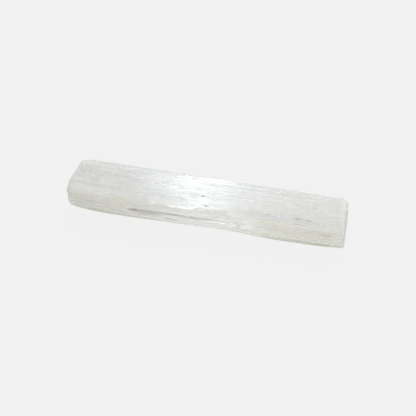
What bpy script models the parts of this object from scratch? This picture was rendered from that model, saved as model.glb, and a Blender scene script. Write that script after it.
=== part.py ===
"""Selenite wand: one cleaved stick of fibrous selenite, lying on its flat underside.

The fibres and the long axis run along X, the front is -Y and +Z is up. The origin is under the
middle of the stick, in the plane that it rests on. All sizes are in metres, and t is a place along
the stick, from 0 at the left end to 1 at the right end.
"""

import math

import bmesh
import bpy

# Driving sizes
LENGTH = 0.152
WIDTH = 0.025
HEIGHT = 0.0165

# Section, seen from +X: the front side stands at FRONT, the back side at BACK
FRONT = -0.0120
BACK = 0.0122
SOLE_INSET = 0.0012
FOOT_RISE = 0.0016
TOP_GAP = 0.0001
BACK_BEVEL_WIDTH = 0.0028
BACK_BEVEL_DROP = 0.0017
RIDGE_Y = -0.0098
RIDGE_DRIFT = 0.0014
RIDGE_DROP = 0.0004

# The long split in the front side, and the lip under it
SPLIT_OPENS = (0.17, 0.24)
SPLIT_CLOSES = (0.62, 0.70)
SPLIT_LOW = 0.0050
SPLIT_CLIMB = 0.0043
SPLIT_CLIMBS = (0.08, 0.24)
SPLIT_FALL = 0.0024
SPLIT_FALLS = (0.62, 0.80)
SPLIT_DEPTH = 0.0006
LIP_DROP = 0.0010
BEVEL_LEAN = 0.0003

# How far each corner of the section is cut back to make its round stretch
SOLE_ROUND = 0.0005
FOOT_ROUND = 0.0007
BACK_ROUND = 0.0009
SHOULDER_ROUND = 0.0016
CROWN_ROUND = 0.0040
RIDGE_ROUND = (0.0010, 0.0034)
SPLIT_ROUND = (0.0004, 0.0010)
SOFTENS = (0.30, 0.75)

# Slow swells of the two sides: place along the length, reach, and how far the side stands out
FRONT_SWELLS = (
    (0.14, 0.14, 0.0006),
    (0.56, 0.07, -0.0006),
    (0.77, 0.13, 0.0007),
    (1.00, 0.05, -0.0008),
)
BACK_SWELL = (0.05, 0.30, 0.0003)
TOE_SHIFT = 0.0012
TOE_FADE = 0.040

# Slow wanders of the long edges: waves along the length, phase as a share of a wave, and size
BACK_WANDER = (1.3, 0.10, 0.0001)
TOP_WANDER = (0.8, 0.30, 0.0002)
RIDGE_WANDER = (1.7, 0.00, 0.0002)
CROWN_WANDER = (0.9, 0.20, 0.0015)
FOOT_WANDER = (1.4, 0.35, 0.0002)

# Left end: a slanted break with a cut corner at the back and a rounded toe below
SLANT_START = -0.0031
SLANT_SLOPE = 0.315
CORNER_START = 0.0103
CORNER_SLOPE = 1.3
TOE_HEIGHT = 0.007
TOE_REACH = 0.0012
TOE_POWER = 1.5
LEFT_ROUNDING = 0.0016

# Right end: a cut that leans in a little at the top, with a worn corner at the back
RIGHT_LEAN = 0.09
WORN_START = 0.0092
WORN_SLOPE = 1.1
RIGHT_ROUNDING = 0.0008

# Mesh: points round a corner, loops round an end and along the body, and rings across an end
CORNER_STEPS = 3
ROUND_STEPS = 3
BODY_STEPS = 34
CAP_RINGS = (0.72, 0.38)
SHARP_ANGLE = 30

SELENITE_COLOR = (0.78, 0.78, 0.74, 1.0)
SELENITE_ROUGHNESS = 0.38
SELENITE_IOR = 1.52


def smooth(span, t):
    """0 up to the start of the span and 1 from its end on, with a smooth step between."""
    s = min(max((t - span[0]) / (span[1] - span[0]), 0.0), 1.0)
    return s * s * (3.0 - 2.0 * s)


def swell(form, t):
    centre, reach, out = form
    return out * math.exp(-(((t - centre) / reach) ** 2))


def wander(form, t):
    waves, phase, size = form
    return size * math.sin(2 * math.pi * (waves * t + phase))


def between(pair, share):
    return pair[0] + (pair[1] - pair[0]) * share


def section_corners(t):
    """The section's corners as (y, z, rounding), counter-clockwise as seen from +X."""
    front = FRONT - sum(swell(form, t) for form in FRONT_SWELLS)
    front += TOE_SHIFT * math.exp(-t / TOE_FADE)
    back = BACK + swell(BACK_SWELL, t) - abs(wander(BACK_WANDER, t))
    top = HEIGHT - TOP_GAP - abs(wander(TOP_WANDER, t))
    soft = smooth(SOFTENS, t)
    ridge_y = RIDGE_Y + RIDGE_DRIFT * soft + wander(RIDGE_WANDER, t)
    opening = smooth(SPLIT_OPENS, t) * (1 - smooth(SPLIT_CLOSES, t))
    split_y = front + BEVEL_LEAN + SPLIT_DEPTH * opening
    split_z = SPLIT_LOW + SPLIT_CLIMB * smooth(SPLIT_CLIMBS, t) - SPLIT_FALL * smooth(SPLIT_FALLS, t)
    return (
        (front + SOLE_INSET, 0.0, SOLE_ROUND),
        (back - SOLE_INSET, 0.0, SOLE_ROUND),
        (back, FOOT_RISE, FOOT_ROUND),
        (back, top - BACK_BEVEL_DROP, BACK_ROUND),
        (back - BACK_BEVEL_WIDTH, top, SHOULDER_ROUND),
        (wander(CROWN_WANDER, t), top + TOP_GAP, CROWN_ROUND),
        (ridge_y, top - RIDGE_DROP, between(RIDGE_ROUND, soft)),
        (split_y, split_z, between(SPLIT_ROUND, soft)),
        (front, split_z - LIP_DROP, SPLIT_ROUND[0]),
        (front + wander(FOOT_WANDER, t), FOOT_RISE, FOOT_ROUND),
    )


def section_outline(t):
    """The closed section at t, with each corner turned into a short round stretch."""
    corners = section_corners(t)
    points = []
    for index, (y, z, rounding) in enumerate(corners):
        ends = []
        for other_y, other_z, _ in (corners[index - 1], corners[(index + 1) % len(corners)]):
            side = math.hypot(other_y - y, other_z - z)
            share = min(rounding / side, 0.45)
            ends.append((between((y, other_y), share), between((z, other_z), share)))
        (start_y, start_z), (end_y, end_z) = ends
        for step in range(CORNER_STEPS + 1):
            s = step / CORNER_STEPS
            first = (between((start_y, y), s), between((start_z, z), s))
            second = (between((y, end_y), s), between((z, end_z), s))
            points.append((between((first[0], second[0]), s), between((first[1], second[1]), s)))
    return points


def left_end(y, z):
    slant = SLANT_SLOPE * max(y - SLANT_START, 0.0) + CORNER_SLOPE * max(y - CORNER_START, 0.0)
    toe = TOE_REACH * (max(TOE_HEIGHT - z, 0.0) / TOE_HEIGHT) ** TOE_POWER
    return -LENGTH / 2 + slant + toe


def right_end(y, z):
    return LENGTH / 2 - RIGHT_LEAN * z - WORN_SLOPE * max(y - WORN_START, 0.0)


def stations():
    """Each loop as (t, left turn, right turn).

    A turn goes from 1 at the rim of an end's face to 0 where the rounding meets the sides.
    """
    turns = [1.0 - step / ROUND_STEPS for step in range(ROUND_STEPS)]
    body = [(step / BODY_STEPS, 0.0, 0.0) for step in range(BODY_STEPS + 1)]
    left = [(0.0, turn, 0.0) for turn in turns]
    right = [(1.0, 0.0, turn) for turn in reversed(turns)]
    return left + body + right


def placed(point, station, ring):
    """Where a vertex goes. ring is 1 on the skin, and less across the face of an end."""
    t, left, right = station
    rounding = LEFT_ROUNDING if left else RIGHT_ROUNDING
    angle = (left or right) * math.pi / 2
    inset = rounding * (1 - math.cos(angle))
    run = rounding * (1 - math.sin(angle))
    y = point[0] * ring * (1 - inset / (WIDTH / 2))
    z = between((HEIGHT / 2, point[1]), ring * (1 - inset / (HEIGHT / 2)))
    start = left_end(y, z) + (run if left else LEFT_ROUNDING)
    stop = right_end(y, z) - (run if right else RIGHT_ROUNDING)
    return between((start, stop), t), y, z


def end_face(bm, corner_count, side):
    return [f for f in bm.faces if len(f.verts) == corner_count and f.normal.z * side > 0.5]


def shape_stick(bm):
    """A plain cylinder of radius 1 with a loop for each station, turned into the stick."""
    loops = stations()
    outlines = [section_outline(t) for t, _, _ in loops]
    count = len(outlines[0])
    bmesh.ops.create_cone(bm, cap_ends=True, segments=count, radius1=1.0, radius2=1.0, depth=1.0)
    long_edges = [e for e in bm.edges if abs(e.verts[0].co.z - e.verts[1].co.z) > 0.5]
    bmesh.ops.subdivide_edges(bm, edges=long_edges, cuts=len(loops) - 2, use_grid_fill=True)
    for side in (-1, 1):
        for ring, outer in zip(CAP_RINGS, (1.0, *CAP_RINGS)):
            bmesh.ops.inset_region(bm, faces=end_face(bm, count, side), thickness=outer - ring)
        bmesh.ops.poke(bm, faces=end_face(bm, count, side))
    for vert in bm.verts:
        loop = round((vert.co.z + 0.5) * (len(loops) - 1))
        index = round(math.atan2(vert.co.y, vert.co.x) / (2 * math.pi) * count) % count
        ring = min(math.hypot(vert.co.x, vert.co.y), 1.0)
        vert.co = placed(outlines[loop][index], loops[loop], ring)


def settle(bm):
    """Trims the stick to its driving sizes, with the middle of its sole at the origin."""
    sizes = (LENGTH, WIDTH, HEIGHT)
    low, high = zip(*((min(row), max(row)) for row in zip(*(vert.co for vert in bm.verts))))
    bottom_middle = ((low[0] + high[0]) / 2, (low[1] + high[1]) / 2, low[2])
    bmesh.ops.translate(bm, verts=bm.verts, vec=[-value for value in bottom_middle])
    trim = [size / (top - bottom) for size, bottom, top in zip(sizes, low, high)]
    bmesh.ops.scale(bm, verts=bm.verts, vec=trim)


def selenite_material():
    material = bpy.data.materials.new("selenite")
    material.use_nodes = True
    shader = material.node_tree.nodes["Principled BSDF"]
    shader.inputs["Base Color"].default_value = SELENITE_COLOR
    shader.inputs["Roughness"].default_value = SELENITE_ROUGHNESS
    shader.inputs["Metallic"].default_value = 0.0
    shader.inputs["IOR"].default_value = SELENITE_IOR
    return material


def build_stick():
    bm = bmesh.new()
    shape_stick(bm)
    settle(bm)
    bmesh.ops.recalc_face_normals(bm, faces=bm.faces)
    mesh = bpy.data.meshes.new("selenite_wand")
    bm.to_mesh(mesh)
    bm.free()
    mesh.shade_smooth()
    mesh.set_sharp_from_angle(angle=math.radians(SHARP_ANGLE))
    mesh.materials.append(selenite_material())
    bpy.context.collection.objects.link(bpy.data.objects.new("selenite_wand", mesh))


for leftover in list(bpy.data.objects):
    bpy.data.objects.remove(leftover)
build_stick()
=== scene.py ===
import math
import random

import bmesh
import bpy
from mathutils import Matrix, Vector, noise
from mathutils.bvhtree import BVHTree
from mathutils.kdtree import KDTree


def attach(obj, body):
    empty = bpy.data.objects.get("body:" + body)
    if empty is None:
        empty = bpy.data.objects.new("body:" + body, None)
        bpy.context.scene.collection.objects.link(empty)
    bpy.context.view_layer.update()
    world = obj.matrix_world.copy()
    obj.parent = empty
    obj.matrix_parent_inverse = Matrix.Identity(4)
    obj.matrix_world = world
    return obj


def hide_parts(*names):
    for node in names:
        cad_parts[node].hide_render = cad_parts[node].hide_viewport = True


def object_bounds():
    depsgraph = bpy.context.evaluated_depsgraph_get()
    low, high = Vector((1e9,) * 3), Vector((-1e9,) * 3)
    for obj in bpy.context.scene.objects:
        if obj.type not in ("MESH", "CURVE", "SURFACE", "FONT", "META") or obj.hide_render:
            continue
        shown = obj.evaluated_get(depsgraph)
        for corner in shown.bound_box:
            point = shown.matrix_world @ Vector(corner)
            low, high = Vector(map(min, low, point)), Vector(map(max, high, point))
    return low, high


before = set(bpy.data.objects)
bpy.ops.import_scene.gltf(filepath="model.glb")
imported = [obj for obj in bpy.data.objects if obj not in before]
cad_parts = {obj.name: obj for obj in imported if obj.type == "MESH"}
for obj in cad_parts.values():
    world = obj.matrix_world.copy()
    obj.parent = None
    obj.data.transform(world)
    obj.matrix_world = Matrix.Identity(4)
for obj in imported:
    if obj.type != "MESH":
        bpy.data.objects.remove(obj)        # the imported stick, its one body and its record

cadLow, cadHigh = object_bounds()
print("frame loaded, box in mm:", [round(value * 1000, 2) for value in cadHigh - cadLow])

mm = 0.001


# small helpers

def smoothStep(span, value):
    share = min(max((value - span[0]) / (span[1] - span[0]), 0.0), 1.0)
    return share * share * (3.0 - 2.0 * share)


def between(pair, share):
    return pair[0] + (pair[1] - pair[0]) * share


def swell(form, t):      # a bump of one reach round one place along the stick
    centre, reach, out = form
    return out * math.exp(-(((t - centre) / reach) ** 2))


def wander(form, t):     # a slow wave along the stick
    waves, phase, size = form
    return size * math.sin(2 * math.pi * (waves * t + phase))


def stretchedNoise(spot, along, across, seed):    # noise drawn out along the fibres
    return noise.noise(Vector((spot.x * along + seed, spot.y * across - seed, spot.z * across)))


# camera at the photo's viewing angle

viewing = {
    "azimuth": 10.1,          # degrees, from straight in front towards the square end
    "elevation": 61.0,
    "distance": 0.627,
    "lens": 100.0,            # mm, on a 36 mm sensor
    "middle": Vector((0, 0, 0.008)),
    "aimLeft": 0.05 * mm,     # how far the middle sits right of and above the frame's middle
    "aimBelow": 2.6 * mm,
}


def makeCamera(look):
    azimuth, elevation = math.radians(look["azimuth"]), math.radians(look["elevation"])
    flat = math.cos(elevation)
    back = Vector((math.sin(azimuth) * flat, -math.cos(azimuth) * flat, math.sin(elevation)))
    right = Vector((math.cos(azimuth), math.sin(azimuth), 0))
    up = back.cross(right)
    aim = look["middle"] - right * look["aimLeft"] - up * look["aimBelow"]
    data = bpy.data.cameras.new("viewCamera")
    data.lens = look["lens"]
    data.sensor_width = 36.0
    data.clip_start = 0.01
    data.clip_end = 50.0
    camera = bpy.data.objects.new("viewCamera", data)
    camera.location = aim + back * look["distance"]
    camera.rotation_mode = "QUATERNION"
    camera.rotation_quaternion = (-back).to_track_quat("-Z", "Y")
    bpy.context.scene.collection.objects.link(camera)
    bpy.context.scene.camera = camera


makeCamera(viewing)
print("camera placed")


# the stick: a long cylinder whose every loop is turned into the stick's section

stick = {
    "length": cadHigh.x - cadLow.x,
    "width": cadHigh.y - cadLow.y,
    "height": cadHigh.z - cadLow.z,
    # the section, seen from the square end
    "front": -12.0 * mm,
    "back": 12.2 * mm,
    "soleInset": 1.2 * mm,
    "footRise": 1.6 * mm,
    "topGap": 0.1 * mm,
    "backBevelWidth": 2.8 * mm,
    "backBevelDrop": 1.7 * mm,
    "ridgeAcross": -9.8 * mm,
    "ridgeDrift": 1.4 * mm,
    "ridgeDrop": 0.4 * mm,
    # the long split in the front side, and the lip under it
    "splitOpens": (0.17, 0.24),
    "splitCloses": (0.62, 0.70),
    "splitLow": 5.0 * mm,
    "splitClimb": 4.3 * mm,
    "splitClimbs": (0.08, 0.24),
    "splitFall": 2.4 * mm,
    "splitFalls": (0.62, 0.80),
    "splitDepth": 0.6 * mm,
    "lipDrop": 1.0 * mm,
    "bevelLean": 0.3 * mm,
    # the dark crevice at the back of the split
    "creviceCorner": 7,
    "creviceDeep": ((0.20, 0.24), (0.30, 0.46), 0.9 * mm, 0.9 * mm),   # opens, eases, first and later depth
    "creviceEnds": (0.56, 0.66),
    "creviceFall": 0.25,      # how far it dips for each step inwards
    "creviceWide": 0.36,      # its share of the corner's curve
    # how far each corner is cut back to make its round stretch
    "soleRound": 0.5 * mm,
    "footRound": 0.7 * mm,
    "backRound": 0.9 * mm,
    "shoulderRound": 1.6 * mm,
    "crownRound": 4.0 * mm,
    "ridgeRound": (1.0 * mm, 3.4 * mm),
    "splitRound": (0.4 * mm, 1.0 * mm),
    "softens": (0.30, 0.75),
    # slow swells and wanders along the length
    "frontSwells": (
        (0.14, 0.14, 0.6 * mm),
        (0.56, 0.07, -0.6 * mm),
        (0.77, 0.13, 0.7 * mm),
        (1.00, 0.05, -0.8 * mm),
    ),
    "backSwell": (0.05, 0.30, 0.3 * mm),
    "toeShift": 1.2 * mm,
    "toeFade": 0.040,
    "backWander": (1.3, 0.10, 0.1 * mm),
    "topWander": (0.8, 0.30, 0.2 * mm),
    "ridgeWander": (1.7, 0.00, 0.2 * mm),
    "crownWander": (0.9, 0.20, 1.5 * mm),
    "footWander": (1.4, 0.35, 0.2 * mm),
    # the slanted left end and the square right end
    "slantStart": -3.1 * mm,
    "slantSlope": 0.315,
    "cornerStart": 10.3 * mm,
    "cornerSlope": 1.3,
    "toeHeight": 7.0 * mm,
    "toeReach": 1.2 * mm,
    "toePower": 1.5,
    "leftRounding": 1.6 * mm,
    "rightLean": 0.09,
    "wornStart": 9.2 * mm,
    "wornSlope": 1.1,
    "rightRounding": 0.8 * mm,
    # the mesh: points in each corner and along each side after it, loops, and rings across an end
    "cornerSteps": (3, 3, 3, 4, 4, 6, 6, 12, 4, 3),
    "sideSteps": (40, 5, 44, 13, 52, 52, 42, 6, 34, 5),
    "bodySteps": 212,
    "roundSteps": 6,
    "capRings": 24,
    "sharpAngle": 42,
}


def sectionCorners(t):   # (y, z, rounding), counter-clockwise as seen from the square end
    front = stick["front"] - sum(swell(form, t) for form in stick["frontSwells"])
    front += stick["toeShift"] * math.exp(-t / stick["toeFade"])
    back = stick["back"] + swell(stick["backSwell"], t) - abs(wander(stick["backWander"], t))
    top = stick["height"] - stick["topGap"] - abs(wander(stick["topWander"], t))
    soft = smoothStep(stick["softens"], t)
    ridge = stick["ridgeAcross"] + stick["ridgeDrift"] * soft + wander(stick["ridgeWander"], t)
    opening = smoothStep(stick["splitOpens"], t) * (1 - smoothStep(stick["splitCloses"], t))
    splitAcross = front + stick["bevelLean"] + stick["splitDepth"] * opening
    splitUp = stick["splitLow"] + stick["splitClimb"] * smoothStep(stick["splitClimbs"], t)
    splitUp -= stick["splitFall"] * smoothStep(stick["splitFalls"], t)
    foot = stick["footRise"]
    return (
        (front + stick["soleInset"], 0.0, stick["soleRound"]),
        (back - stick["soleInset"], 0.0, stick["soleRound"]),
        (back, foot, stick["footRound"]),
        (back, top - stick["backBevelDrop"], stick["backRound"]),
        (back - stick["backBevelWidth"], top, stick["shoulderRound"]),
        (wander(stick["crownWander"], t), top + stick["topGap"], stick["crownRound"]),
        (ridge, top - stick["ridgeDrop"], between(stick["ridgeRound"], soft)),
        (splitAcross, splitUp, between(stick["splitRound"], soft)),
        (front, splitUp - stick["lipDrop"], stick["splitRound"][0]),
        (front + wander(stick["footWander"], t), foot, stick["footRound"]),
    )


def creviceDepth(t):
    opens, eases, first, later = stick["creviceDeep"]
    deep = smoothStep(opens, t) * between((first, later), smoothStep(eases, t))
    ragged = 0.75 + 0.4 * noise.noise(Vector((t * 26, 3.3, 0)))
    return deep * ragged * (1 - smoothStep(stick["creviceEnds"], t))


def sectionOutline(t):   # the closed section: each corner a short curve, then the straight side after it
    corners = [Vector((y, z)) for y, z, _ in sectionCorners(t)]
    roundings = [rounding for _, _, rounding in sectionCorners(t)]
    count = len(corners)
    entries, exits = [], []
    for index, corner in enumerate(corners):
        for other, ends in ((corners[index - 1], entries), (corners[(index + 1) % count], exits)):
            share = min(roundings[index] / (other - corner).length, 0.45)
            ends.append(corner.lerp(other, share))
    points = []
    for index, corner in enumerate(corners):
        for step in range(stick["cornerSteps"][index] + 1):
            s = step / stick["cornerSteps"][index]
            point = entries[index].lerp(corner, s).lerp(corner.lerp(exits[index], s), s)
            if index == stick["creviceCorner"]:
                deep = creviceDepth(t) * max(1 - (abs(s - 0.5) / stick["creviceWide"]) ** 2, 0.0)
                point += Vector((deep, -deep * stick["creviceFall"]))
            points.append(point)
        following = entries[(index + 1) % count]
        steps = stick["sideSteps"][index]
        for step in range(1, steps):
            points.append(exits[index].lerp(following, step / steps))
    return points


def leftEnd(y, z):
    slant = stick["slantSlope"] * max(y - stick["slantStart"], 0.0)
    slant += stick["cornerSlope"] * max(y - stick["cornerStart"], 0.0)
    low = max(stick["toeHeight"] - z, 0.0) / stick["toeHeight"]
    return -stick["length"] / 2 + slant + stick["toeReach"] * low ** stick["toePower"]


def rightEnd(y, z):
    worn = stick["wornSlope"] * max(y - stick["wornStart"], 0.0)
    return stick["length"] / 2 - stick["rightLean"] * z - worn


def makeStations():      # (t, left turn, right turn): a turn is 1 at an end's rim and 0 where the sides start
    turns = [1.0 - step / stick["roundSteps"] for step in range(stick["roundSteps"])]
    body = [(step / stick["bodySteps"], 0.0, 0.0) for step in range(stick["bodySteps"] + 1)]
    left = [(0.0, turn, 0.0) for turn in turns]
    return left + body + [(1.0, 0.0, turn) for turn in reversed(turns)]


def placeOnStick(point, station, ring):
    t, left, right = station
    rounding = stick["leftRounding"] if left else stick["rightRounding"]
    angle = (left or right) * math.pi / 2
    inset = rounding * (1 - math.cos(angle))
    run = rounding * (1 - math.sin(angle))
    y = point.x * ring * (1 - inset / (stick["width"] / 2))
    z = between((stick["height"] / 2, point.y), ring * (1 - inset / (stick["height"] / 2)))
    start = leftEnd(y, z) + (run if left else stick["leftRounding"])
    stop = rightEnd(y, z) - (run if right else stick["rightRounding"])
    return Vector((between((start, stop), t), y, z))


def endFace(bm, cornerCount, side):
    return [f for f in bm.faces if len(f.verts) == cornerCount and f.normal.z * side > 0.5]


def shapeStick(bm):
    loops = makeStations()
    outlines = [sectionOutline(t) for t, _, _ in loops]
    count = len(outlines[0])
    bmesh.ops.create_cone(bm, cap_ends=True, segments=count, radius1=1.0, radius2=1.0, depth=1.0)
    longEdges = [e for e in bm.edges if abs(e.verts[0].co.z - e.verts[1].co.z) > 0.5]
    bmesh.ops.subdivide_edges(bm, edges=longEdges, cuts=len(loops) - 2, use_grid_fill=True)
    for side in (-1, 1):
        for _ in range(stick["capRings"] - 1):
            bmesh.ops.inset_region(bm, faces=endFace(bm, count, side), thickness=1 / stick["capRings"])
        bmesh.ops.poke(bm, faces=endFace(bm, count, side))
    mapLayer = bm.loops.layers.uv.new("fibreMap")
    marks = []
    bm.verts.index_update()
    for vert in bm.verts:
        loop = round((vert.co.z + 0.5) * (len(loops) - 1))
        index = round(math.atan2(vert.co.y, vert.co.x) / (2 * math.pi) * count) % count
        ring = min(math.hypot(vert.co.x, vert.co.y), 1.0)
        marks.append((index, loop, ring))
        vert.co = placeOnStick(outlines[loop][index], loops[loop], ring)
    for face in bm.faces:     # round the stick in U and along it in V, and the ends flat
        corners = [marks[vert.index] for vert in face.verts]
        flatEnd = min(ring for _, _, ring in corners) < 0.999
        wraps = max(index for index, _, _ in corners) - min(index for index, _, _ in corners) > count / 2
        for corner in face.loops:
            index, loop, ring = marks[corner.vert.index]
            if flatEnd:
                corner[mapLayer].uv = (corner.vert.co.y / stick["width"], corner.vert.co.z / stick["width"])
            else:
                corner[mapLayer].uv = ((index + (count if wraps and index < count / 2 else 0)) / count,
                                       loop / (len(loops) - 1))


# the surface: fibres, ledges where bundles of fibres have split away, and nicks

relief = {
    "swell": (14, 95, 0.14 * mm),      # how fast it changes along and across the fibres, per metre, and depth
    "ledge": (7, 260, 0.12 * mm),
    "ledgeCount": 3,
    "fibre": (18, 950, 0.06 * mm),
    "hair": (40, 2300, 0.025 * mm),
    "crack": (9, 580, 0.06 * mm),
    "crackWide": 0.20,
    "brokenEnd": (0.55 * mm, 0.30 * mm),   # the left and right end's own roughness
    "nickStretch": 3.5,                # nicks are longer along the fibres
    "typical": 0.17 * mm,              # the middle depth, and the calmer right half round it
    "calms": (8 * mm, 44 * mm),
    "calmShare": 0.3,
}
namedNicks = (           # place in mm, then how wide and how deep, in mm
    ((15.1, -11.6, 8.2), 1.1, 0.8),
    ((-0.0, -6.3, 16.2), 0.7, 0.3),
    ((-2.7, -0.7, 16.4), 0.6, 0.15),
    ((32.9, -5.9, 16.1), 0.7, 0.2),
    ((71.5, 9.8, 15.6), 1.0, 0.4),
)
edgeNicks = {"count": 46, "wide": (0.4, 1.1), "deep": (0.10, 0.35), "seed": 5}


def ledges(value, count):  # flat steps with short slopes between them, from 0 to 1
    scaled = (value * 0.5 + 0.5) * count
    level = math.floor(scaled)
    return (level + smoothStep((0.36, 0.64), scaled - level)) / count


def fibreDepth(spot):    # how deep the cleaved surface lies under the smooth form
    along, across, deep = relief["swell"]
    depth = deep * (0.5 + 0.5 * stretchedNoise(spot, along, across, 3.1))
    along, across, deep = relief["ledge"]
    depth += deep * ledges(stretchedNoise(spot, along, across, 11.7), relief["ledgeCount"])
    along, across, deep = relief["fibre"]
    depth += deep * (0.5 + 0.5 * stretchedNoise(spot, along, across, 23.9))
    along, across, deep = relief["hair"]
    depth += deep * (0.5 + 0.5 * stretchedNoise(spot, along, across, 37.3))
    along, across, deep = relief["crack"]
    nearLine = 1 - abs(stretchedNoise(spot, along, across, 71.9)) / relief["crackWide"]
    depth += deep * max(nearLine, 0.0)
    share = between((1.0, relief["calmShare"]), smoothStep(relief["calms"], spot.x))
    return between((relief["typical"], depth), share)


def brokenDepth(spot, deep):   # the ends of the fibres, broken off in bundles
    flat = Vector((0.0, spot.y, spot.z))
    bundles = ledges(stretchedNoise(flat, 0, 420, 51.0), 4)
    fibres = 0.5 + 0.5 * stretchedNoise(flat, 0, 1500, 67.0)
    return deep * (0.7 * bundles + 0.3 * fibres)


def roughenStick(bm):
    bm.normal_update()
    leftDeep, rightDeep = relief["brokenEnd"]
    moves = []
    for vert in bm.verts:
        endShare = smoothStep((0.55, 0.95), abs(vert.normal.x))
        depth = fibreDepth(vert.co) * (1 - endShare)
        depth += brokenDepth(vert.co, leftDeep if vert.normal.x < 0 else rightDeep) * endShare
        moves.append(vert.normal * -depth)
    for vert, move in zip(bm.verts, moves):
        vert.co += move


def nickPlaces():
    places = [(Vector(place) * mm, wide * mm, deep * mm) for place, wide, deep in namedNicks]
    picker = random.Random(edgeNicks["seed"])
    for _ in range(edgeNicks["count"]):
        t = picker.uniform(0.01, 0.99)
        y, z, _ = sectionCorners(t)[picker.choice((2, 3, 4, 6, 6, 8, 8, 9))]
        x = between((leftEnd(y, z), rightEnd(y, z)), t)
        wide = picker.uniform(*edgeNicks["wide"]) * mm
        places.append((Vector((x, y, z)), wide, picker.uniform(*edgeNicks["deep"]) * mm))
    return places


def cutNicks(bm):
    squeeze = Vector((1 / relief["nickStretch"], 1, 1))
    bm.normal_update()
    tree = KDTree(len(bm.verts))
    for index, vert in enumerate(bm.verts):
        tree.insert(vert.co * squeeze, index)
    tree.balance()
    bm.verts.ensure_lookup_table()
    moves = []
    for place, wide, deep in nickPlaces():
        for _, index, distance in tree.find_range(place * squeeze, wide):
            share = 1 - (distance / wide) ** 2
            moves.append((bm.verts[index], bm.verts[index].normal * -deep * share))
    for vert, move in moves:
        vert.co += move


def settleInBox(bm):     # to the frame's own box, with its sole on the ground
    low = Vector(min(vert.co[axis] for vert in bm.verts) for axis in range(3))
    high = Vector(max(vert.co[axis] for vert in bm.verts) for axis in range(3))
    bmesh.ops.translate(bm, verts=bm.verts, vec=-low)
    trim = [(cadHigh[axis] - cadLow[axis]) / (high[axis] - low[axis]) for axis in range(3)]
    bmesh.ops.scale(bm, verts=bm.verts, vec=trim)
    bmesh.ops.translate(bm, verts=bm.verts, vec=cadLow)


def addPiece(bm, name, material):
    mesh = bpy.data.meshes.new(name)
    bm.to_mesh(mesh)
    mesh.shade_smooth()
    mesh.materials.append(material)
    piece = bpy.data.objects.new(name, mesh)
    bpy.context.scene.collection.objects.link(piece)
    return piece


# node helpers for the materials

def makeNode(tree, kind, inputs=(), **attributes):
    node = tree.nodes.new(kind)
    for name, value in attributes.items():
        setattr(node, name, value)
    for name, value in dict(inputs).items():
        if isinstance(value, bpy.types.NodeSocket):
            tree.links.new(value, node.inputs[name])
        else:
            node.inputs[name].default_value = value
    return node


def mathNode(tree, operation, first, second=0.0, clamp=False):
    node = makeNode(tree, "ShaderNodeMath", {0: first, 1: second}, operation=operation, use_clamp=clamp)
    return node.outputs[0]


def rangeNode(tree, value, fromMin, fromMax, toMin=0.0, toMax=1.0, smooth=False):
    inputs = {"Value": value, "From Min": fromMin, "From Max": fromMax, "To Min": toMin, "To Max": toMax}
    kind = "SMOOTHSTEP" if smooth else "LINEAR"
    return makeNode(tree, "ShaderNodeMapRange", inputs, interpolation_type=kind).outputs["Result"]


def mixColour(tree, factor, first, second, blend="MIX"):
    inputs = {0: factor, 6: first, 7: second}
    return makeNode(tree, "ShaderNodeMix", inputs, data_type="RGBA", blend_type=blend).outputs[2]


def fibreNoise(tree, coords, along, across, detail, roughness=0.55, shift=0.0):
    stretched = makeNode(tree, "ShaderNodeMapping", {"Vector": coords, "Scale": (along, across, across),
                                                     "Location": (shift, shift, shift)})
    inputs = {"Vector": stretched.outputs[0], "Scale": 1.0, "Detail": detail, "Roughness": roughness}
    return makeNode(tree, "ShaderNodeTexNoise", inputs).outputs["Fac"]


def patchMask(tree, coords, centre, reach, soft=0.5):   # 1 in an oval patch, fading to 0 at its reach
    scale = [1 / (value * mm) for value in reach]
    location = [-place / value for place, value in zip(centre, reach)]
    local = makeNode(tree, "ShaderNodeMapping", {"Vector": coords, "Location": location, "Scale": scale})
    length = makeNode(tree, "ShaderNodeVectorMath", {0: local.outputs[0]}, operation="LENGTH")
    return rangeNode(tree, length.outputs["Value"], 1.0, 1.0 - soft, smooth=True)


# selenite: translucent white fibres with a silky sheen across them

selenite = {
    "cool": (0.845, 0.865, 0.87, 1),
    "pale": (0.94, 0.95, 0.955, 1),
    # near white for the painted sheen down the middle of the front side
    "paintedSheenWhite": (0.99, 0.99, 0.985, 1),
    "grey": (0.69, 0.705, 0.71, 1),
    # olive: painted shade along the bottom front edge, and the olive streaks on the right of the front
    "olive": (0.54, 0.545, 0.44, 1),
    # crevice: painted shade in the split's crevice; also a low dark line on the front and the dark wisps of
    # inclusion on the top
    "crevice": (0.34, 0.33, 0.27, 1),
    "line": (0.46, 0.47, 0.46, 1),
    # endWhite: the broken ends' own white, and also painted light near both ends
    "endWhite": (0.93, 0.93, 0.92, 1),
    "endGrey": (0.66, 0.67, 0.65, 1),
    "fleck": (0.97, 0.97, 0.96, 1),
    # painted light and shade, multiplied in slowly: lighter at the back, darker and warmer at the front, darker
    # towards both ends
    "backPaintedLight": (1.06, 1.065, 1.07, 1),
    "frontPaintedShade": (0.96, 0.94, 0.88, 1),
    "leftPaintedShade": (0.93, 0.925, 0.91, 1),
    "rightPaintedShade": (0.96, 0.955, 0.935, 1),
    "transmission": 0.28,
    "ior": 1.52,
    "roughness": (0.21, 0.34),
    "endRoughness": 0.62,
    "dullFrom": 0.60,         # the noise level where a dull dash starts, and how much rougher it is
    "dull": 0.35,
    "dullMark": 0.5,          # how much rougher the small marks below are, and how dark
    "darkMark": 0.35,
    "endShare": 0.75,         # how much of an end's face is its own colour
    "hairShare": 0.4,         # how much of the bump the finest fibres make
    "bumpStrength": 0.6,
    "bumpDeep": 0.05 * mm,
    "endBumpDeep": 0.35 * mm,
    "anisotropy": 1.0,
    "specular": 0.9,
    "subsurface": 0.45,
    "subsurfaceRadius": (1.0, 0.92, 0.78),
    "subsurfaceScale": 3.5 * mm,
    "absorbColour": (0.96, 0.95, 0.86, 1),
    "absorbDensity": 45.0,
}
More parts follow.
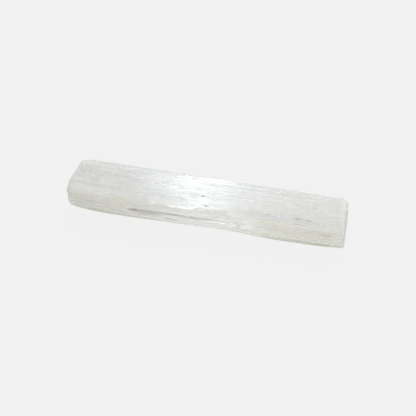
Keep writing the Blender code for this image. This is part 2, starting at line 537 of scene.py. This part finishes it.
patterns = {             # noise along the fibres: along and across per metre, detail, roughness, shift
    "broad": (16, 400, 3, 0.55, 1.3),
    "fine": (22, 900, 3, 0.6, 4.1),
    "hair": (60, 3600, 2, 0.55, 7.9),
    "cloud": (40, 90, 3, 0.55, 2.2),
    "lines": (14, 620, 2, 0.55, 9.4),
    "puffs": (130, 230, 3, 0.55, 6.6),
    "flecks": (450, 900, 2, 0.55, 5.5),
    "dashes": (330, 1300, 2, 0.55, 8.8),
    "bundles": (5, 1300, 4, 0.65, 3.7),
}
shades = {               # for each pattern: where it starts and is full, and its share there
    "broad": (0.32, 0.68, 1.0),
    "fine": (0.56, 0.36, 0.2),
    "hair": (0.54, 0.70, 0.3),
    "cloud": (0.52, 0.75, 0.22),
    "puffs": (0.48, 0.66, 0.6),
    "flecks": (0.54, 0.62, 1.0),
    "bundles": (0.42, 0.66, 0.9),
}
calmer = {"from": 5, "to": 40, "lines": (0.24, 0.06), "lineWide": 0.022}    # the smoother right half, in mm
gradients = (            # painted light and shade, slow changes: axis, from and to in mm, what it is multiplied by, and strength
    ("Y", 2.0, 10.0, "backPaintedLight", 1.0),
    ("Y", -5.0, -11.5, "frontPaintedShade", 1.0),
    ("X", -15.0, -50.0, "leftPaintedShade", 1.0),
    ("X", 10.0, 50.0, "rightPaintedShade", 1.0),
)
tints = (                # oval patches, some of them painted light or shade: middle and reach in mm, colour, strength, how broken by the fibres
    # a painted highlight: the band of sheen carried down over the middle of the front side
    ("frontPaintedSheen", (-1, -11.8, 8), (42, 4.5, 10), "paintedSheenWhite", 0.85, 0.2),
    # painted shade: darker olive along the bottom front edge, left and right of the middle
    ("rightRimPaintedShade", (58, -12.5, 2.5), (42, 2.6, 3.6), "olive", 0.9, 0.2),
    ("leftRimPaintedShade", (-58, -12.5, 1.5), (30, 3.0, 3.6), "olive", 0.9, 0.2),
    ("streak", (-56, 3.9, 16.4), (16, 1.5, 3), "grey", 0.9, 0.6),
    ("patch", (-61, -1.2, 16.3), (6, 3.2, 3), "grey", 0.6, 0.2),
    # painted light: paler towards both ends, where light comes through the thin edges
    ("leftEndPaintedLight", (-76, 4, 14), (6.5, 12, 9), "endWhite", 0.8, 0.0),
    ("rightEndPaintedLight", (77, 5, 14), (3.5, 8, 7), "endWhite", 0.8, 0.0),
    # painted shade: splitStart, splitWedge and split darken the split's crevice and the wedge under it
    ("splitStart", (-39.4, -11.6, 9.0), (4.4, 1.6, 1.3), "crevice", 0.6, 0.0),
    ("splitWedge", (-31, -11.8, 8.1), (12, 1.8, 1.9), "crevice", 0.6, 0.1),
    ("split", (-6, -11.0, 9.2), (34, 1.6, 0.8), "crevice", 0.8, 0.3),
    ("lowLine", (-18.5, -11.9, 5.6), (8, 1.0, 0.8), "crevice", 0.5, 0.2),
    ("wisp", (49.8, -5.6, 16), (4.0, 0.7, 2), "crevice", 0.8, 0.3),
    ("wispTail", (55.5, -5.7, 16), (3.6, 0.6, 2), "crevice", 0.7, 0.3),
    ("wispLow", (51, -8.1, 14.8), (6.0, 0.6, 2), "crevice", 0.35, 0.6),
    ("oliveStreak", (66, -10.1, 10.8), (5.5, 0.6, 1.0), "olive", 0.8, 0.2),
    ("oliveLow", (68, -10.9, 8.6), (4.5, 0.6, 0.8), "olive", 0.7, 0.2),
)
namedMarks = (           # the plainest dull marks: middle in mm, reach along and across in mm, how strong
    ((-13.5, -4.5, 16.2), 1.5, 0.55, 1.0),
    ((-7.5, -7.0, 16.0), 0.5, 0.9, 0.9),
    ((-2.5, -1.0, 16.3), 1.5, 0.9, 1.0),
    ((-24.5, 3.5, 16.4), 1.2, 0.5, 0.7),
    ((-19.5, 3.5, 16.4), 1.3, 0.5, 0.7),
    ((-14.0, 6.0, 16.4), 1.4, 0.5, 0.8),
    ((2.0, 6.5, 16.3), 1.2, 0.6, 0.9),
    ((2.5, 1.5, 16.3), 1.3, 0.7, 1.0),
    ((-4.5, 3.5, 16.3), 1.8, 0.5, 0.7),
    ((-5.0, -9.0, 15.4), 1.6, 0.8, 0.8),
    ((-1.0, -9.5, 14.6), 1.6, 0.8, 0.8),
    ((5.5, -5.0, 16.1), 5.0, 0.5, 0.9),
    # this long one on the lip under the split is painted shade: it also darkens the lip's colour to dim the sheen
    # there
    ((-8.0, -11.7, 8.4), 26, 0.9, 0.6),
)
scatteredMarks = {       # smaller ones between them on the top, in mm
    "count": 22,
    "x": (-24, 20),
    "y": (-6, 9),
    "z": 16.3,
    "long": (1.1, 2.4),
    "wide": (0.4, 0.6),
    "strong": (0.5, 0.9),
    "seed": 12,
}
flecks = {"middle": (-55.5, -0.3, 16.4), "reach": (7.5, 3.6, 3)}


def patternNode(tree, coords, name):
    along, across, detail, roughness, shift = patterns[name]
    return fibreNoise(tree, coords, along, across, detail, roughness, shift)


def shadeShare(tree, pattern, name):     # how much of its shade a pattern lays on
    start, full, share = shades[name]
    return rangeNode(tree, pattern, start, full, 0.0, share)


def allMarks():
    picker = random.Random(scatteredMarks["seed"])
    places = list(namedMarks)
    for _ in range(scatteredMarks["count"]):
        middle = (picker.uniform(*scatteredMarks["x"]), picker.uniform(*scatteredMarks["y"]), scatteredMarks["z"])
        reach = [picker.uniform(*scatteredMarks[name]) for name in ("long", "wide")]
        places.append((middle, *reach, picker.uniform(*scatteredMarks["strong"])))
    return places


def marksOn(tree, coords):     # 1 in the middle of a mark and 0 away from all of them
    total = 0.0
    for place, along, across, strength in allMarks():
        spot = patchMask(tree, coords, place, (along, across, 2 * across), 0.8)
        total = mathNode(tree, "MAXIMUM", total, mathNode(tree, "MULTIPLY", spot, strength))
    return total


def seleniteMaterial():
    material = bpy.data.materials.new("seleniteFibres")
    material.use_nodes = True
    tree = material.node_tree
    shader = tree.nodes["Principled BSDF"]
    coords = makeNode(tree, "ShaderNodeTexCoord").outputs["Object"]
    broad, fine, hair = (patternNode(tree, coords, name) for name in ("broad", "fine", "hair"))
    cloud, lines, puffs = (patternNode(tree, coords, name) for name in ("cloud", "lines", "puffs"))
    place = makeNode(tree, "ShaderNodeSeparateXYZ", {0: coords})
    rightHalf = rangeNode(tree, place.outputs["X"], calmer["from"] * mm, calmer["to"] * mm, smooth=True)

    colour = mixColour(tree, shadeShare(tree, broad, "broad"), selenite["cool"], selenite["pale"])
    colour = mixColour(tree, shadeShare(tree, fine, "fine"), colour, selenite["grey"])
    colour = mixColour(tree, shadeShare(tree, hair, "hair"), colour, selenite["pale"])
    offLine = mathNode(tree, "ABSOLUTE", mathNode(tree, "SUBTRACT", lines, 0.5))
    lineShare = rangeNode(tree, rightHalf, 0.0, 1.0, *calmer["lines"])
    lineMask = mathNode(tree, "MULTIPLY", rangeNode(tree, offLine, calmer["lineWide"], 0.0), lineShare)
    colour = mixColour(tree, lineMask, colour, selenite["line"])
    colour = mixColour(tree, shadeShare(tree, cloud, "cloud"), colour, selenite["grey"])
    puffMask = mathNode(tree, "MULTIPLY", shadeShare(tree, puffs, "puffs"), rightHalf)
    colour = mixColour(tree, puffMask, colour, selenite["pale"])
    # the gradients paint light and shade into the colour
    for axis, start, stop, shade, strength in gradients:
        mask = rangeNode(tree, place.outputs[axis], start * mm, stop * mm, 0.0, strength, smooth=True)
        colour = mixColour(tree, mask, colour, selenite[shade], "MULTIPLY")
    for name, centre, reach, shade, strength, broken in tints:
        mask = patchMask(tree, coords, centre, reach, 0.75)
        fibres = rangeNode(tree, fine, 0.35, 0.62, strength * (1 - broken), strength)
        mask = mathNode(tree, "MULTIPLY", mask, fibres)
        colour = mixColour(tree, mask, colour, selenite[shade])
    spots = shadeShare(tree, patternNode(tree, coords, "flecks"), "flecks")
    spots = mathNode(tree, "MULTIPLY", spots, patchMask(tree, coords, flecks["middle"], flecks["reach"], 0.6))
    colour = mixColour(tree, spots, colour, selenite["fleck"])

    markMask = marksOn(tree, coords)
    # the marks are darker too; on the lip under the split this is painted shade
    darkShare = mathNode(tree, "MULTIPLY", markMask, selenite["darkMark"])
    colour = mixColour(tree, darkShare, colour, selenite["line"])

    normal = makeNode(tree, "ShaderNodeNewGeometry").outputs["Normal"]
    facing = makeNode(tree, "ShaderNodeSeparateXYZ", {0: normal}).outputs["X"]
    ends = rangeNode(tree, mathNode(tree, "ABSOLUTE", facing), 0.55, 0.9, smooth=True)
    bundles = patternNode(tree, coords, "bundles")
    bundleShare = shadeShare(tree, bundles, "bundles")
    endColour = mixColour(tree, bundleShare, selenite["endWhite"], selenite["endGrey"])
    colour = mixColour(tree, mathNode(tree, "MULTIPLY", ends, selenite["endShare"]), colour, endColour)
    tree.links.new(colour, shader.inputs["Base Color"])

    low, high = selenite["roughness"]
    rough = rangeNode(tree, fine, 0.3, 0.7, low, high)
    dashes = patternNode(tree, coords, "dashes")
    dull = rangeNode(tree, dashes, selenite["dullFrom"], selenite["dullFrom"] + 0.05, 0.0, selenite["dull"])
    rough = mathNode(tree, "ADD", rough, dull)
    rough = mathNode(tree, "ADD", rough, mathNode(tree, "MULTIPLY", markMask, selenite["dullMark"]))
    rough = makeNode(tree, "ShaderNodeMix", {0: ends, 2: rough, 3: selenite["endRoughness"]}).outputs[0]
    tree.links.new(rough, shader.inputs["Roughness"])

    height = makeNode(tree, "ShaderNodeMix", {0: selenite["hairShare"], 2: fine, 3: hair}).outputs[0]
    height = makeNode(tree, "ShaderNodeMix", {0: ends, 2: height, 3: bundles}).outputs[0]
    deep = rangeNode(tree, ends, 0.0, 1.0, selenite["bumpDeep"], selenite["endBumpDeep"])
    bump = makeNode(tree, "ShaderNodeBump", {"Height": height, "Strength": selenite["bumpStrength"],
                                             "Distance": deep})
    tree.links.new(bump.outputs[0], shader.inputs["Normal"])
    tangent = makeNode(tree, "ShaderNodeTangent", direction_type="UV_MAP", uv_map="fibreMap")
    tree.links.new(tangent.outputs[0], shader.inputs["Tangent"])

    shader.inputs["IOR"].default_value = selenite["ior"]
    shader.inputs["Transmission Weight"].default_value = selenite["transmission"]
    shader.inputs["Specular IOR Level"].default_value = selenite["specular"]
    shader.inputs["Anisotropic"].default_value = selenite["anisotropy"]
    shader.inputs["Subsurface Weight"].default_value = selenite["subsurface"]
    shader.inputs["Subsurface Radius"].default_value = selenite["subsurfaceRadius"]
    shader.inputs["Subsurface Scale"].default_value = selenite["subsurfaceScale"]
    absorb = makeNode(tree, "ShaderNodeVolumeAbsorption", {"Color": selenite["absorbColour"],
                                                           "Density": selenite["absorbDensity"]})
    tree.links.new(absorb.outputs[0], tree.nodes["Material Output"].inputs["Volume"])
    return material


def makeStick():
    bm = bmesh.new()
    shapeStick(bm)
    roughenStick(bm)
    cutNicks(bm)
    settleInBox(bm)
    bmesh.ops.recalc_face_normals(bm, faces=bm.faces)
    tree = BVHTree.FromBMesh(bm)
    piece = addPiece(bm, "fibrous_stick", seleniteMaterial())
    bm.free()
    piece.data.set_sharp_from_angle(angle=math.radians(stick["sharpAngle"]))
    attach(piece, "root")
    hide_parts("selenite_wand")
    return piece, tree


stickPiece, stickSurface = makeStick()
print("stick made:", len(stickPiece.data.polygons), "faces")


# dark grains and clay slivers sealed in the surface

grains = {
    "colour": (0.16, 0.15, 0.12, 1),
    "paler": (0.30, 0.29, 0.25, 1),
    "flat": 0.5,              # how thick a grain is against its width
    "sunk": 0.55,             # how much of that thickness is under the surface
}
namedGrains = (          # place in mm, size along and across in mm; the height is not read, every grain is set on the top
    ((0.0, -6.3, 16), 0.55, 0.45),
    ((-2.7, -0.7, 16), 0.5, 0.22),
    ((2.1, 6.5, 16), 0.4, 0.2),
    ((3.0, 1.0, 16), 0.35, 0.22),
    ((-13.4, -4.4, 16), 0.45, 0.15),
    ((-7.5, -7.0, 16), 0.4, 0.15),
    ((32.9, -5.9, 16), 0.6, 0.25),
)


def grainMaterial():
    material = bpy.data.materials.new("darkClay")
    material.use_nodes = True
    tree = material.node_tree
    shader = tree.nodes["Principled BSDF"]
    coords = makeNode(tree, "ShaderNodeTexCoord").outputs["Object"]
    mottle = fibreNoise(tree, coords, 2500, 2500, 3)
    colour = mixColour(tree, rangeNode(tree, mottle, 0.35, 0.65), grains["colour"], grains["paler"])
    tree.links.new(colour, shader.inputs["Base Color"])
    tree.links.new(rangeNode(tree, mottle, 0.3, 0.7, 0.55, 0.85), shader.inputs["Roughness"])
    bump = makeNode(tree, "ShaderNodeBump", {"Height": mottle, "Strength": 0.5, "Distance": 0.05 * mm})
    tree.links.new(bump.outputs[0], shader.inputs["Normal"])
    return material


def makeGrains():
    bm = bmesh.new()
    for place, along, across in namedGrains:
        x, y, _ = place
        hit, normal, _, _ = stickSurface.ray_cast(Vector((x, y, 40)) * mm, Vector((0, 0, -1)))
        size = Vector((along, across, across * grains["flat"])) * mm
        middle = hit - Vector((0, 0, 1)) * size.z * (2 * grains["sunk"] - 1)
        matrix = Matrix.Translation(middle) @ Matrix.Diagonal((*size, 1))
        bmesh.ops.create_icosphere(bm, subdivisions=3, radius=1, matrix=matrix)
    piece = addPiece(bm, "dark_grains", grainMaterial())
    bm.free()
    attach(piece, "root")
    return piece


makeGrains()
print("grains made")


# a plain pale floor that glows a little, and soft studio light

studio = {
    "floorSize": 12.0,
    "floorDrop": 0.05 * mm,
    "paleShade": 0.8796,
    "floorOwn": (0.08, 0.08, 0.08, 1),
    "floorGlow": 0.812,
    "fill": 0.30,
    # big soft panels: name, place and power
    "panelSize": 2.2,
    "panels": (
        ("overPanel", (-0.2, 0.9, 1.35), 14.0),
        ("frontPanel", (0.3, -1.4, 0.9), 19.0),
        ("backPanel", (0.0, 1.8, 0.7), 16.0),
        ("sidePanel", (1.9, -0.2, 0.5), 3.0),
    ),
    # narrow strips in a hoop over the stick, for the bright band across its fibres
    # each strip's degrees up from the horizon behind, and its power
    "strips": ((15, 0.22), (45, 0.27), (75, 0.07), (105, 0.05), (135, 0.38), (165, 0.14)),
    "stripWidth": 0.012,
    "stripReach": 30,         # degrees of the hoop that each strip fills
    "stripDistance": 0.36,
    "stripColour": (0.87, 0.94, 1.0),
    "bandPlace": Vector((-0.0005, 0.0, 0.0163)),
}


def floorMaterial():
    material = bpy.data.materials.new("paleFloor")
    material.use_nodes = True
    shader = material.node_tree.nodes["Principled BSDF"]
    shader.inputs["Base Color"].default_value = studio["floorOwn"]
    shader.inputs["Roughness"].default_value = 1.0
    shader.inputs["Specular IOR Level"].default_value = 0.0
    shader.inputs["Emission Color"].default_value = (1, 1, 1, 1)
    shader.inputs["Emission Strength"].default_value = studio["floorGlow"]
    return material


def makeFloor():
    bm = bmesh.new()
    bmesh.ops.create_grid(bm, x_segments=1, y_segments=1, size=studio["floorSize"] / 2)
    bmesh.ops.translate(bm, verts=bm.verts, vec=(0, 0, -studio["floorDrop"]))
    floor = addPiece(bm, "floor", floorMaterial())
    bm.free()


def makeWorld():         # the camera sees it as pale as the floor
    world = bpy.data.worlds.new("studioWorld")
    world.use_nodes = True
    tree = world.node_tree
    shade, fill = studio["paleShade"], studio["fill"]
    isCamera = makeNode(tree, "ShaderNodeLightPath").outputs["Is Camera Ray"]
    colour = mixColour(tree, isCamera, (fill, fill, fill, 1), (shade, shade, shade, 1))
    tree.links.new(colour, tree.nodes["Background"].inputs["Color"])
    bpy.context.scene.world = world


def makePanel(name, place, outward, upward, size, power):   # it shines back along outward
    data = bpy.data.lights.new(name, "AREA")
    data.shape = "RECTANGLE"
    data.size, data.size_y = size
    data.energy = power
    panel = bpy.data.objects.new(name, data)
    panel.location = place
    across = upward.cross(outward).normalized()
    panel.rotation_mode = "QUATERNION"
    panel.rotation_quaternion = Matrix((across, outward.cross(across), outward)).transposed().to_quaternion()
    panel.visible_camera = False
    bpy.context.scene.collection.objects.link(panel)
    return panel


def makeLights():
    size = studio["panelSize"]
    for name, place, power in studio["panels"]:
        makePanel(name, Vector(place), Vector(place).normalized(), Vector((0, 0, 1)), (size, size), power)
    band = studio["bandPlace"]
    leanLeft = -(bpy.context.scene.camera.location - band).normalized().x
    flat = math.sqrt(1 - leanLeft ** 2)
    stripLong = 2 * studio["stripDistance"] * math.tan(math.radians(studio["stripReach"] / 2))
    size = (studio["stripWidth"], stripLong)
    for number, (turn, power) in enumerate(studio["strips"]):
        angle = math.radians(turn)
        towards = Vector((leanLeft, flat * math.cos(angle), flat * math.sin(angle)))
        place = band + towards * studio["stripDistance"]
        along = Vector((0, -math.sin(angle), math.cos(angle)))
        strip = makePanel(f"stripPanel{number}", place, towards, along, size, power)
        strip.data.color = studio["stripColour"]
        strip.visible_diffuse = False


makeFloor()
makeWorld()
makeLights()
scene = bpy.context.scene
scene.view_settings.view_transform = "Standard"
scene.view_settings.look = "None"
print("floor and lights placed")
